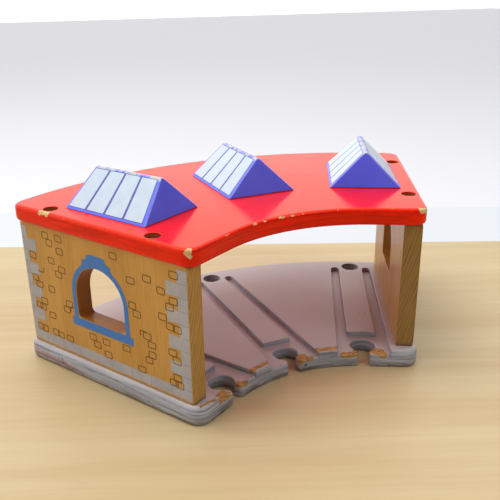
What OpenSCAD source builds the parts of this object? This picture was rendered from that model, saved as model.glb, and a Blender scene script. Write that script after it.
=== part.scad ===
// Three-stall wooden engine shed for a push-along wooden railway.
// The stalls fan out from the middle of a turntable. Every part is laid out from that
// point, with Y outwards along the middle stall, and the whole shed is then moved so
// that its origin is the middle of the footprint, on the ground.

/* [Stalls] */
// Angle between neighbouring stalls, in degrees
stall_angle = 29.3; // [28:0.1:32]
// Width of the tongue between a stall's two wheel grooves
tongue_w = 20; // [18:0.5:21]
// Groove width at the rear stop
groove_w_rear = 6.3; // [5.5:0.1:7]
// Groove width at the front edge
groove_w_front = 7.6; // [6:0.1:8]
// Groove depth
groove_d = 3.4; // [2:0.1:4]
// Distance from the turntable's middle to the rear end of the grooves
groove_end_r = 236; // [215:1:238]
// Distance from the turntable's middle to the front end of the tongue
tongue_end_r = 120; // [117:1:130]

/* [Boards] */
// Radius of the rear edge of the floor and the roof
board_outer_r = 252; // [248:1:262]
// Radius of the front edge of the floor
base_inner_r = 94.5; // [90:0.5:97]
// Radius of the front edge of the roof
roof_inner_r = 96.8; // [92:0.1:100]
// Distance from an outer stall's middle line to the side edge of the floor
base_side_w = 36; // [35:0.5:38]
// Distance from an outer stall's middle line to the side edge of the roof
roof_side_w = 35; // [35:0.5:38]
// Thickness of the floor
base_t = 12.5; // [11:0.5:14]
// Thickness of the roof
roof_t = 10.8; // [10:0.1:13]
// Plan radius of the floor's two front corners
base_front_corner_r = 9; // [6:1:12]
// Plan radius of the roof's two front corners
roof_front_corner_r = 8; // [6:1:10]
// Plan radius of the four rear corners
rear_corner_r = 9; // [4:1:12]

/* [Couplings] */
// Diameter of the round coupling socket at the front of each stall
socket_d = 16.5; // [14:0.1:17]
// Width of the neck that opens the socket to the front
neck_w = 7.5; // [6:0.1:9]
// Distance from the turntable's middle to a socket's middle
socket_r_pos = 107.2; // [106:0.1:109]
// Diameter of the hole behind each stall
rear_hole_d = 13.7; // [12:0.1:14]
// Distance from the turntable's middle to a rear hole's middle
rear_hole_r_pos = 238.3; // [232:0.1:240]

/* [Walls] */
// Thickness of the side walls
wall_t = 11.7; // [10:0.1:12]
// Distance from an outer stall's middle line to the inner face of its wall
wall_in = 21.4; // [20:0.1:22]
// Height of the side walls
wall_h = 87; // [70:1:100]
// Length of the side walls
wall_len = 143; // [138:1:144]
// Distance from the turntable's middle to the front end of a wall, along the wall
wall_front = 101.5; // [101:0.5:104]
// Width of the arched window
window_w = 41.5; // [34:0.5:46]
// Height of the window sill above the floor
sill_h = 30.5; // [20:0.5:36]
// Height above the floor at which the arch springs
spring_h = 47.7; // [40:0.1:54]
// Radius of the window's two lower corners
window_corner_r = 3.2; // [2:0.1:6]
// Distance from the front end of a wall to the middle of its window
window_at = 73; // [66:1:76]

/* [Roof lights] */
// Length of a roof light's base along its stall
light_len = 69; // [50:1:80]
// Distance from the turntable's middle to the front of a roof light
light_front = 143; // [135:0.5:150]
// Width of a roof light's base
light_w = 48.6; // [30:0.2:52]
// Height of a roof light
light_h = 23.2; // [20:0.2:25]
// How far each end of a roof light leans in from its base to its ridge
light_lean = 6.5; // [0:0.5:10]
// Width of the flat along the worn ridge
ridge_flat = 2; // [0.6:0.2:3]
// Sideways offset of the left roof light from its stall's middle line
left_light_offset = 3; // [-3:0.5:3]
// Sideways offset of the middle roof light
middle_light_offset = 1; // [-3:0.5:3]
// Sideways offset of the right roof light
right_light_offset = 0; // [-3:0.5:3]

/* [Fasteners] */
// Diameter of the counterbores over the screws
counterbore_d = 9.3; // [8.5:0.1:10]
// Depth of the counterbores in the roof and in the underside of the floor
counterbore_depth = 5; // [4:0.5:6]
// Distance along a wall from its front end to the front screws
screw_front = 29.5; // [20:0.5:40]
// Distance along a wall from its front end to the rear screws
screw_rear = 117; // [105:0.5:125]
// Length of a screw
screw_len = 36; // [25:1:45]
// Diameter of a screw's thread
screw_d = 4; // [3:0.1:4.5]
// Diameter of a screw's head
head_d = 8; // [7:0.1:8.4]
// Diameter of the dowels that hold a roof light
dowel_d = 6; // [5:0.5:8]
// Length of those dowels
dowel_len = 20; // [14:1:22]

/* [Hidden] */
$fn = 96;
over = 1;                              // how far a cutter runs past the face it cuts
roof_z = base_t + wall_h;
roof_top_z = roof_z + roof_t;
light_offset = [left_light_offset, middle_light_offset, right_light_offset];
square_play = 0.05;                    // how far a square front end stays inside the front arc
// How far out along an outer stall the middle of a corner's circle lies.
function front_out(inner_r, round_r) = inner_r - square_play + round_r;
function rear_out(side_w) =
    sqrt(pow(board_outer_r - rear_corner_r, 2) - pow(side_w - rear_corner_r, 2));
// A point of an outer stall's frame, in the turntable's frame.
function stall_point(side, across, out) =
    [side * (out * sin(stall_angle) + across * cos(stall_angle)),
     out * cos(stall_angle) - across * sin(stall_angle)];
front_y = stall_point(1, base_side_w - base_front_corner_r,
                      front_out(base_inner_r, base_front_corner_r))[1] - base_front_corner_r;
mid_y = (front_y + board_outer_r) / 2; // the footprint's middle, seen from the turntable
corner_play = 0.05;                    // how much larger a corner's circle is cut, on the radius
hole_play = 0.2;                       // hole over shank, on the diameter
shaft_play = 0.6;                      // roof and floor holes over the screw, on the diameter
dowel_play = 0.1;                      // dowel hole over dowel, on the diameter
dowel_in_roof = 8;                     // how deep a dowel goes into the roof
dowel_gap = 0.5;                       // glue space past each end of a dowel
dowel_inset = 18;                      // dowel to the nearer end of a roof light
head_h = 2.6;                          // height of a screw's pan head
head_round = 0.9;                      // chamfer round the top of a screw head
tip_len = 7;                           // length of a screw's point
recess_d = 3.4;                        // width of the cross recess in a screw head
recess_depth = 1.6;                    // depth of that recess
recess_w = 1;                          // width of each arm of that recess

// Moves what is inside from the turntable's frame to the shed's own frame.
module shed_frame() { translate([0, -mid_y, 0]) children(); }

// Turns what is inside on to a stall: -1 left, 0 middle, 1 right. X is across, Y outwards.
module on_stall(side) { rotate([0, 0, -side * stall_angle]) children(); }

// What is left open in front of a board: a disc round the turntable, and past each outer
// stall's middle line a straight front, square to the board's side. The straight front stays
// a touch inside the disc's edge where it leaves it, so that the two cross.
module front_opening(inner_r, side_w) {
    circle(r = inner_r);
    for (side = [-1, 1]) rotate([0, 0, -side * stall_angle])
        translate([side > 0 ? 0 : -side_w - over, 0])
            square([side_w + over, inner_r - square_play]);
}

// Plan of a board before its corners are rounded: part of a ring, with straight sides.
module sharp_plan(inner_r, side_w) {
    apex_y = -side_w / sin(stall_angle);
    reach = board_outer_r * 2;
    intersection() {
        difference() {
            circle(r = board_outer_r);
            front_opening(inner_r, side_w);
        }
        polygon([[0, apex_y],
                 [reach * sin(stall_angle), apex_y + reach * cos(stall_angle)],
                 [-reach * sin(stall_angle), apex_y + reach * cos(stall_angle)]]);
    }
}

// What a rounded corner takes away: the wedge round the corner, less the corner's circle.
// The wedge lies between the side edge's normal and the end's. The circle is a touch larger
// than its radius, so that it crosses the edges it meets.
module corner_cut(side, centre, end_normal, round_r) {
    size = 2 * round_r;
    side_normal = [side * cos(stall_angle), -sin(stall_angle)];
    difference() {
        polygon([centre, centre + size * side_normal,
                 centre + size * (side_normal + end_normal), centre + size * end_normal]);
        translate(centre) circle(r = round_r + corner_play);
    }
}

// Plan of a board with its four corners rounded.
module board_plan(inner_r, side_w, front_corner_r) {
    difference() {
        sharp_plan(inner_r, side_w);
        for (side = [-1, 1]) {
            front = stall_point(side, side_w - front_corner_r, front_out(inner_r, front_corner_r));
            rear = stall_point(side, side_w - rear_corner_r, rear_out(side_w));
            corner_cut(side, front, -stall_point(side, 0, 1), front_corner_r);
            corner_cut(side, rear, rear / norm(rear), rear_corner_r);
        }
    }
}

// One wheel groove, on the right of its stall, with a round rear end.
module groove_plan() {
    start = base_inner_r - 3 * over;
    round_r = groove_w_rear / 2;
    inner = tongue_w / 2;
    round_end = [for (angle = [0:15:180])
        [inner + round_r + round_r * cos(angle), groove_end_r - round_r + round_r * sin(angle)]];
    polygon(concat([[inner, start], [inner + groove_w_front, start]], round_end));
}

// Everything cut into the top of the floor for one stall.
module stall_cut() {
    start = base_inner_r - 3 * over;
    translate([0, 0, base_t - groove_d]) linear_extrude(groove_d + over) {
        groove_plan();
        mirror([1, 0]) groove_plan();
        translate([-tongue_w / 2 - over, start]) square([tongue_w + 2 * over, tongue_end_r - start]);
    }
    translate([0, socket_r_pos, -over]) cylinder(d = socket_d, h = base_t + 2 * over);
    translate([-neck_w / 2, start, -over])
        cube([neck_w, socket_r_pos - start, base_t + 2 * over]);
    translate([0, rear_hole_r_pos, -over]) cylinder(d = rear_hole_d, h = base_t + 2 * over);
}

// Places what is inside at the two screw positions of one wall.
module at_screws(side) {
    on_stall(side) for (along = [screw_front, screw_rear])
        translate([side * (wall_in + wall_t / 2), wall_front + along, 0]) children();
}

module base_board() {
    color("lightgray") shed_frame() difference() {
        linear_extrude(base_t)
            board_plan(base_inner_r, base_side_w, base_front_corner_r);
        for (side = [-1, 0, 1]) on_stall(side) stall_cut();
        for (side = [-1, 1]) at_screws(side) {
            translate([0, 0, -over]) cylinder(d = counterbore_d, h = counterbore_depth + over);
            cylinder(d = screw_d + shaft_play, h = base_t + over);
        }
    }
}

module roof_board() {
    color("red") shed_frame() difference() {
        translate([0, 0, roof_z]) linear_extrude(roof_t)
            board_plan(roof_inner_r, roof_side_w, roof_front_corner_r);
        for (side = [-1, 1]) at_screws(side) {
            translate([0, 0, roof_top_z - counterbore_depth])
                cylinder(d = counterbore_d, h = counterbore_depth + over);
            translate([0, 0, roof_z - over]) cylinder(d = screw_d + shaft_play, h = roof_t);
        }
        for (side = [-1, 0, 1]) at_dowels(side)
            cylinder(d = dowel_d + dowel_play, h = dowel_len);
    }
}

// What stays of a wall in one lower corner of its window. Its circle is a touch larger than
// the corner's radius, so that it crosses the sill and the side of the window.
module window_corner(side) {
    depth = wall_t + 4 * over;
    size = window_corner_r + over;
    translate([-2 * over, side * (window_w / 2 - window_corner_r), sill_h + window_corner_r])
        difference() {
            translate([0, side > 0 ? 0 : -size, -size]) cube([depth, size, size]);
            translate([-over, 0, 0]) rotate([0, 90, 0])
                cylinder(r = window_corner_r + corner_play, h = depth + 2 * over);
        }
}

// An arched opening through a wall, standing on Z = 0 and centred on Y = 0.
module arch_opening() {
    depth = wall_t + 2 * over;
    difference() {
        translate([-over, -window_w / 2, sill_h]) cube([depth, window_w, spring_h - sill_h]);
        for (side = [-1, 1]) window_corner(side);
    }
    intersection() {
        translate([-over, 0, spring_h]) rotate([0, 90, 0]) cylinder(d = window_w, h = depth);
        translate([-over, -window_w / 2, spring_h - over]) cube([depth, window_w, window_w]);
    }
}

// Depth of the pilot hole in a wall's edge for a screw that comes through a board.
function pilot_depth(board_t) = screw_len - head_h - (board_t - counterbore_depth) + over;

module side_wall(side) {
    base_pilot = pilot_depth(base_t);
    roof_pilot = pilot_depth(roof_t);
    color("burlywood") shed_frame() difference() {
        on_stall(side) translate([side > 0 ? wall_in : -wall_in - wall_t, wall_front, base_t])
            difference() {
                cube([wall_t, wall_len, wall_h]);
                translate([0, window_at, 0]) arch_opening();
            }
        at_screws(side) {
            translate([0, 0, base_t - over])
                cylinder(d = screw_d + hole_play, h = base_pilot + over);
            translate([0, 0, roof_z - roof_pilot])
                cylinder(d = screw_d + hole_play, h = roof_pilot + over);
        }
    }
}

module left_wall() { side_wall(-1); }
module right_wall() { side_wall(1); }

// Places what is inside at the two dowels of one roof light, at the foot of a dowel's hole.
module at_dowels(side) {
    on_stall(side) for (along = [dowel_inset, light_len - dowel_inset])
        translate([light_offset[side + 1], light_front + along,
                   roof_top_z - dowel_in_roof - dowel_gap]) children();
}

// Triangular bar with leaning ends, its base on Z = 0 and its front end at Y = 0.
module light_bar() {
    intersection() {
        translate([0, light_len, 0]) rotate([90, 0, 0]) linear_extrude(light_len)
            polygon([[-light_w / 2, 0], [light_w / 2, 0],
                     [ridge_flat / 2, light_h], [-ridge_flat / 2, light_h]]);
        translate([-light_w, 0, 0]) rotate([90, 0, 90]) linear_extrude(2 * light_w)
            polygon([[0, 0], [light_len, 0],
                     [light_len - light_lean, light_h], [light_lean, light_h]]);
    }
}

module roof_light(side) {
    color("slateblue") shed_frame() difference() {
        on_stall(side) translate([light_offset[side + 1], light_front, roof_top_z]) light_bar();
        at_dowels(side) cylinder(d = dowel_d + dowel_play, h = dowel_len + 2 * dowel_gap);
    }
}

module left_roof_light() { roof_light(-1); }
module middle_roof_light() { roof_light(0); }
module right_roof_light() { roof_light(1); }

// Pan-head wood screw, top of the head at Z = 0 and point downwards.
module wood_screw() {
    difference() {
        rotate_extrude() polygon([[0, 0], [head_d / 2 - head_round, 0],
                                  [head_d / 2, -head_round], [head_d / 2, -head_h],
                                  [screw_d / 2, -head_h], [screw_d / 2, tip_len - screw_len],
                                  [0, -screw_len]]);
        for (turn = [0, 90]) rotate([0, 0, turn])
            translate([-recess_d / 2, -recess_w / 2, -recess_depth])
                cube([recess_d, recess_w, recess_depth + over]);
    }
}

module roof_screws(side) {
    color("goldenrod") shed_frame() at_screws(side)
        translate([0, 0, roof_top_z - counterbore_depth + head_h]) wood_screw();
}

module base_screws(side) {
    color("goldenrod") shed_frame() at_screws(side)
        translate([0, 0, counterbore_depth - head_h]) mirror([0, 0, 1]) wood_screw();
}

module left_roof_screws() { roof_screws(-1); }
module right_roof_screws() { roof_screws(1); }
module left_base_screws() { base_screws(-1); }
module right_base_screws() { base_screws(1); }

module light_dowels(side) {
    color("tan") shed_frame() at_dowels(side)
        translate([0, 0, dowel_gap]) cylinder(d = dowel_d, h = dowel_len);
}

module left_light_dowels() { light_dowels(-1); }
module middle_light_dowels() { light_dowels(0); }
module right_light_dowels() { light_dowels(1); }

base_board();
left_wall();
right_wall();
roof_board();
left_roof_light();
middle_roof_light();
right_roof_light();
left_roof_screws();
right_roof_screws();
left_base_screws();
right_base_screws();
left_light_dowels();
middle_light_dowels();
right_light_dowels();
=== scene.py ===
import math
import random

import bmesh
import bpy
import numpy as np
from mathutils import Matrix, Vector
from mathutils.geometry import delaunay_2d_cdt

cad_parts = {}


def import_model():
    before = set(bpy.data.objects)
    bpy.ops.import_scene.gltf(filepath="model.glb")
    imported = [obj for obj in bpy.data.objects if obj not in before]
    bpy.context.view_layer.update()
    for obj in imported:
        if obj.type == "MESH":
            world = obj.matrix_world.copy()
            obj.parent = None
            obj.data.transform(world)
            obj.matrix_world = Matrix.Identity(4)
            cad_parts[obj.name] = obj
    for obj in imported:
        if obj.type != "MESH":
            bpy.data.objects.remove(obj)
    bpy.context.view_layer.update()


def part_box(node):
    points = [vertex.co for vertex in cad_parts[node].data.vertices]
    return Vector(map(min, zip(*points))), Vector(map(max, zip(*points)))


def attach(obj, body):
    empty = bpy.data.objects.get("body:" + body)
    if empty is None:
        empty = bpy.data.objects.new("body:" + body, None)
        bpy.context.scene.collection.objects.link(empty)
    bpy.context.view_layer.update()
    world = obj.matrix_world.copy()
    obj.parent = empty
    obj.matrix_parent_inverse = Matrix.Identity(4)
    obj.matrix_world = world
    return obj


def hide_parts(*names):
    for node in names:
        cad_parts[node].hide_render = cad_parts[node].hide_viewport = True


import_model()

MM = 0.001
SIDES = {-1: "left", 0: "middle", 1: "right"}

# The shed's plan, in millimetres, in the turntable's frame, as the CAD part lays it out:
# origin in the middle of the turntable, Y outwards along the middle stall.
STALL = math.radians(29.3)
MID_Y = 160.001            # the footprint's middle, seen from the turntable
OUTER_R, BASE_R, ROOF_R = 252.0, 94.5, 96.8
BASE_SIDE_W, ROOF_SIDE_W = 36.0, 35.0
BASE_CORNER, ROOF_CORNER, REAR_CORNER = 9.0, 8.0, 9.0
TONGUE_W, TONGUE_END, GROOVE_END = 20.0, 120.0, 236.0
GROOVE_REAR_W, GROOVE_FRONT_W, GROOVE_D = 6.3, 7.6, 3.4
SOCKET_R, SOCKET_AT, NECK_W, NECK_ROUND = 8.25, 107.2, 7.5, 2.6
REAR_HOLE_R, REAR_HOLE_AT = 6.85, 238.3
WALL_T, WALL_IN, WALL_H, WALL_LEN, WALL_FRONT = 11.7, 21.4, 87.0, 143.0, 101.5
WINDOW_W, WINDOW_CORNER, SILL_H, SPRING_H, WINDOW_AT = 41.5, 3.2, 30.5, 47.7, 73.0
LIGHT_LEN, LIGHT_FRONT, LIGHT_W, LIGHT_H = 69.0, 143.0, 48.6, 23.2
LIGHT_LEAN, RIDGE_FLAT, DOWEL_INSET = 6.5, 2.0, 18.0
LIGHT_OFFSET = {-1: 3.0, 0: 1.0, 1: 0.0}
BORE_R, BORE_D, SHAFT_R = 4.65, 5.0, 2.3
SCREW_ALONG = (29.5, 117.0)
DOWEL_ALONG = (DOWEL_INSET, LIGHT_LEN - DOWEL_INSET)
SCREW_LEN, SCREW_R, HEAD_R, HEAD_H = 36.0, 2.0, 4.0, 2.6
DOWEL_R, DOWEL_LEN, DOWEL_IN_ROOF = 3.0, 20.0, 8.0

# Radii of the rounded edges
SIDE_RIM, FRONT_RIM, HOLE_RIM, ROOF_RIM, FLAT_RIM, WALL_RIM = 2.6, 0.95, 0.55, 2.3, 0.4, 0.7

base_low, base_high = (corner.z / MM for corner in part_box("base_board"))
roof_low, roof_high = (corner.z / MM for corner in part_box("roof_board"))


def stall_point(side, across, out):
    """A point of a stall, in the turntable's frame."""
    turn = side * STALL
    return (out * math.sin(turn) + across * math.cos(turn),
            out * math.cos(turn) - across * math.sin(turn))


def world(x, y, z):
    """A point of the turntable's frame in millimetres, in the row frame in metres."""
    return Vector((x * MM, (y - MID_Y) * MM, z * MM))


def stall_world(side, across, out, z):
    return world(*stall_point(side, across, out), z)


# ---- Plain outlines
def arc(centre, radius, start, end, step=2.2):
    """Points along an arc, both ends included; angles in radians."""
    count = max(2, math.ceil(abs(end - start) * radius / step))
    return [(centre[0] + radius * math.cos(start + (end - start) * i / count),
             centre[1] + radius * math.sin(start + (end - start) * i / count))
            for i in range(count + 1)]


def circle(centre, radius, step=1.2):
    return arc(centre, radius, 0, 2 * math.pi, step)[:-1]


def box(u0, v0, u1, v1):
    return [(u0, v0), (u1, v0), (u1, v1), (u0, v1)]


def mirrored(loop):
    return [(-x, y) for x, y in reversed(loop)]


def split(loop, step=2.4):
    """The same closed outline with no stretch longer than step."""
    made = []
    for (x0, y0), (x1, y1) in zip(loop, loop[1:] + loop[:1]):
        count = max(1, math.ceil(math.hypot(x1 - x0, y1 - y0) / step))
        made += [(x0 + (x1 - x0) * i / count, y0 + (y1 - y0) * i / count) for i in range(count)]
    return made


def counterclockwise(loop):
    area = sum(x0 * y1 - x1 * y0 for (x0, y0), (x1, y1) in zip(loop, loop[1:] + loop[:1]))
    return loop if area > 0 else loop[::-1]


def board_outline(inner_r, side_w, front_corner):
    """The fan-shaped plan of a board: two arcs, straight sides, four round corners, and
    straight front ends, square to the sides."""
    rear_in = side_w - REAR_CORNER
    rear_out = math.sqrt((OUTER_R - REAR_CORNER) ** 2 - rear_in ** 2)
    front = stall_point(1, side_w - front_corner, inner_r + front_corner)
    rear = stall_point(1, rear_in, rear_out)
    rear_at = math.atan2(rear[1], rear[0])
    right = arc(front, front_corner, -STALL - math.pi / 2, -STALL, 1.2)
    right += arc(rear, REAR_CORNER, -STALL, rear_at, 1.2)
    behind = arc((0, 0), OUTER_R, rear_at, math.pi - rear_at)[1:-1]
    ahead = arc((0, 0), inner_r, math.pi / 2 + STALL, math.pi / 2 - STALL)
    return split(right + behind + mirrored(right) + ahead)


def move(loop, side):
    """An outline drawn about the middle stall, put on another stall."""
    return [stall_point(side, x, y) for x, y in loop]


# ---- Meshes
def link(thing):
    bpy.context.scene.collection.objects.link(thing)
    return thing


def to_mesh(work, name):
    """A mesh of what a bmesh holds; the bmesh is freed."""
    mesh = bpy.data.meshes.new(name)
    work.to_mesh(mesh)
    work.free()
    return mesh


def finish_mesh(name, mesh, sharp=38):
    """An object for a mesh, smooth but for its sharp edges, with its normals outwards."""
    mesh.update()
    work = bmesh.new()
    work.from_mesh(mesh)
    bmesh.ops.recalc_face_normals(work, faces=work.faces)
    work.to_mesh(mesh)
    work.free()
    mesh.shade_smooth()
    mesh.set_sharp_from_angle(angle=math.radians(sharp))
    return link(bpy.data.objects.new(name, mesh))


def weighted(thing):
    """Even shading on the flats, so that only the rounded edges turn the light."""
    modifier = thing.modifiers.new("Normals", "WEIGHTED_NORMAL")
    modifier.keep_sharp = True
    return thing


def mark_edges(mesh, wear):
    """The vertex attribute edge: 1 along the rounded edges, 0 on the flats."""
    mesh.attributes.new("edge", "FLOAT", "POINT").data.foreach_set("value", wear)


def carve(thing, cutters, crossing=False):
    """Takes the shapes of a bmesh out of an object's mesh; crossing if they overlap."""
    cutter = link(bpy.data.objects.new("cutter", to_mesh(cutters, "cutter")))
    modifier = thing.modifiers.new("Carve", "BOOLEAN")
    modifier.object, modifier.operation, modifier.solver = cutter, "DIFFERENCE", "EXACT"
    modifier.use_self = crossing
    bpy.context.view_layer.update()
    mesh = bpy.data.meshes.new_from_object(
        thing.evaluated_get(bpy.context.evaluated_depsgraph_get()))
    thing.modifiers.remove(modifier)
    thing.data = mesh
    mesh.name = thing.name
    bpy.data.objects.remove(cutter)
    return thing


def drill(thing, holes):
    """Cuts round holes, each (foot, head, radius) in metres, out of an object's mesh."""
    work = bmesh.new()
    for foot, head, radius in holes:
        axis = head - foot
        spin = axis.to_track_quat("Z", "Y").to_matrix().to_4x4()
        bmesh.ops.create_cone(work, cap_ends=True, segments=32, radius1=radius, radius2=radius,
                              depth=axis.length,
                              matrix=Matrix.Translation((foot + head) / 2) @ spin)
    return carve(thing, work)


# ---- Plates
PHASES = [math.radians(angle) for angle in (18, 36, 54, 72, 90)]


def distance_to(points, segments):
    """Distance from each point to the nearest of the segments, on a plane or in space."""
    if not len(segments):
        return np.full(len(points), 1e6)
    start, end = np.split(segments, 2, axis=1)
    along = end - start
    length2 = np.maximum((along ** 2).sum(1), 1e-12)
    nearest = np.empty(len(points))
    for first in range(0, len(points), 2000):
        gap = points[first:first + 2000, None, :] - start[None]
        share = np.clip((gap * along[None]).sum(2) / length2[None], 0, 1)
        gap -= share[..., None] * along[None]
        nearest[first:first + 2000] = np.sqrt((gap ** 2).sum(2).min(1))
    return nearest


class Plate:
    """A flat board with an outline, holes, recesses and rounded edges, as one closed mesh."""

    def __init__(self, outline, voids=(), top_cuts=(), bottom_cuts=(), rim=None, ease=0.5,
                 rise=1.0, foot=1.0):
        self.rim, self.ease, self.rise, self.foot = rim, ease, rise, foot
        self.loops = [outline] + list(voids)
        self.voids = range(1, len(self.loops))
        self.depths = {}, {}
        for cuts, depths in zip((top_cuts, bottom_cuts), self.depths):
            for loop, depth in cuts:
                depths[len(self.loops)] = depth
                self.loops.append(loop)
        self.loops = [counterclockwise(loop) for loop in self.loops]
        self.triangulate([])
        self.triangulate(self.contours())

    def triangulate(self, extra):
        points, faces = [], []
        for loop in self.loops:
            faces.append(list(range(len(points), len(points) + len(loop))))
            points += loop
        points += extra
        found = delaunay_2d_cdt([Vector(p) for p in points], [], faces, 0, 1e-3, True)
        self.points = np.array([tuple(p) for p in found[0]])
        self.tris, self.levels = [], []
        for tri, owners in zip(found[2], found[5]):
            if 0 not in owners or any(v in owners for v in self.voids):
                continue
            a, b, c = (self.points[i] for i in tri)
            if (b[0] - a[0]) * (c[1] - a[1]) < (b[1] - a[1]) * (c[0] - a[0]):
                tri = tri[::-1]
            self.tris.append(tuple(tri))
            self.levels.append(tuple(max(depths.get(owner, 0) for owner in owners)
                                     for depths in self.depths))
        sides = {}
        for index, tri in enumerate(self.tris):
            for a, b in zip(tri, tri[1:] + tri[:1]):
                sides.setdefault((min(a, b), max(a, b)), []).append((index, a, b))
        self.border = [s[0] for s in sides.values() if len(s) == 1]
        inner = [s for s in sides.values() if len(s) == 2]
        self.steps = [[s for s in inner if self.levels[s[0][0]][k] != self.levels[s[1][0]][k]]
                      for k in (0, 1)]

    def distances(self, points):
        """Distance from each point to the border, to the top's steps and the bottom's."""
        groups = [self.border] + [[pair[0] for pair in pairs] for pairs in self.steps]
        return [distance_to(points, np.array([[*self.points[a], *self.points[b]]
                                              for _, a, b in edges])) for edges in groups]

    def inward(self, a, b):
        """The unit normal of an edge, into the triangle that has it."""
        along = self.points[b] - self.points[a]
        return np.array([-along[1], along[0]]) / max(np.linalg.norm(along), 1e-9)

    def contours(self):
        """Points on lines that run beside the edges, where the rounding needs them."""
        normals = {}
        for _, a, b in self.border:
            for end in (a, b):
                normals.setdefault(end, []).append(self.inward(a, b))
        tried = []                  # points, their gap, and whether they are beside a step
        for end, found in normals.items():
            radius = self.rim(*self.points[end])
            if len(found) == 2 and found[0] @ found[1] > 0.8:
                mean = found[0] + found[1]
                found = [mean / np.linalg.norm(mean)]
            for normal in found:
                for gap in [radius * (1 - math.cos(f)) for f in PHASES] + [radius + 0.5]:
                    tried.append((self.points[end] + normal * gap, gap, False))
        for pair in self.steps[0]:
            _, a, b = min(pair, key=lambda s: self.levels[s[0]][0])
            for gap in (self.ease * 0.3, self.ease, self.ease + 0.4):
                for end in (a, b):
                    tried.append((self.points[end] + self.inward(a, b) * gap, gap, True))
        made, wanted, beside_step = (np.array(column) for column in zip(*tried))
        border, over, under = self.distances(made)
        own = np.where(beside_step, over, border)
        keep = (own > wanted * 0.97) & (border > 0.12) & (over > 0.1) & (under > 0.1)
        kept = {}
        for x, y in made[keep]:
            kept.setdefault((round(x / 0.12), round(y / 0.12)), (float(x), float(y)))
        return list(kept.values())

    def build(self, name, bottom, top, place):
        """The plate's object; place(x, y, z) gives a point in metres."""
        border, over, _ = self.distances(self.points)
        radius = np.array([self.rim(x, y) for x, y in self.points])
        gap = np.clip(border, 0, radius)
        drop = radius - np.sqrt(np.maximum(radius ** 2 - (radius - gap) ** 2, 0))
        drop *= self.rise
        turn = np.arccos(np.clip(1 - gap / radius, 0, 1))
        worn = np.sin(2 * turn) * np.clip(radius / 1.5, 0.4, 1)
        near = np.clip(over, 0, self.ease)
        eased = self.ease - np.sqrt(np.maximum(self.ease ** 2 - (self.ease - near) ** 2, 0))
        verts, edge, index, columns = [], [], {}, {}

        def vertex(point, face, depth):
            key = (point, face, depth)
            if key not in index:
                wear = worn[point]
                if face:
                    fall = drop[point]
                    if depth == 0 and near[point] < self.ease:
                        fall = max(fall, eased[point])
                        wear = max(wear, 0.8 * (1 - near[point] / self.ease))
                    z = top - depth - fall
                else:
                    z = bottom + depth + drop[point] * self.foot
                index[key] = len(verts)
                verts.append(place(*self.points[point], z))
                edge.append(wear)
                columns.setdefault(point, []).append((z, index[key]))
            return index[key]

        faces = []
        for tri, (above, below) in zip(self.tris, self.levels):
            faces.append(tuple(vertex(p, 1, above) for p in tri))
            faces.append(tuple(vertex(p, 0, below) for p in reversed(tri)))

        def column(point, first, last):
            """Vertices of one upright line from first to last, those between them included."""
            at = {i: z for z, i in columns[point]}
            low, high = sorted((at[first], at[last]))
            line = [i for z, i in sorted(columns[point]) if low - 1e-9 <= z <= high + 1e-9]
            return line if at[first] <= at[last] else line[::-1]

        for tri, a, b in self.border:
            above, below = self.levels[tri]
            faces.append(tuple(column(b, index[b, 1, above], index[b, 0, below])
                               + column(a, index[a, 0, below], index[a, 1, above])))
        for face, edges in ((1, self.steps[0]), (0, self.steps[1])):
            for (tri, a, b), (other, _, _) in edges:
                mine, theirs = (self.levels[t][1 - face] for t in (tri, other))
                loop = (column(b, index[b, face, mine], index[b, face, theirs])
                        + column(a, index[a, face, theirs], index[a, face, mine]))
                faces.append(tuple(loop) if face else tuple(reversed(loop)))
        mesh = bpy.data.meshes.new(name)
        mesh.from_pydata(verts, [], faces)
        mesh.validate()
        mark_edges(mesh, edge)
        return finish_mesh(name, mesh)


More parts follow.
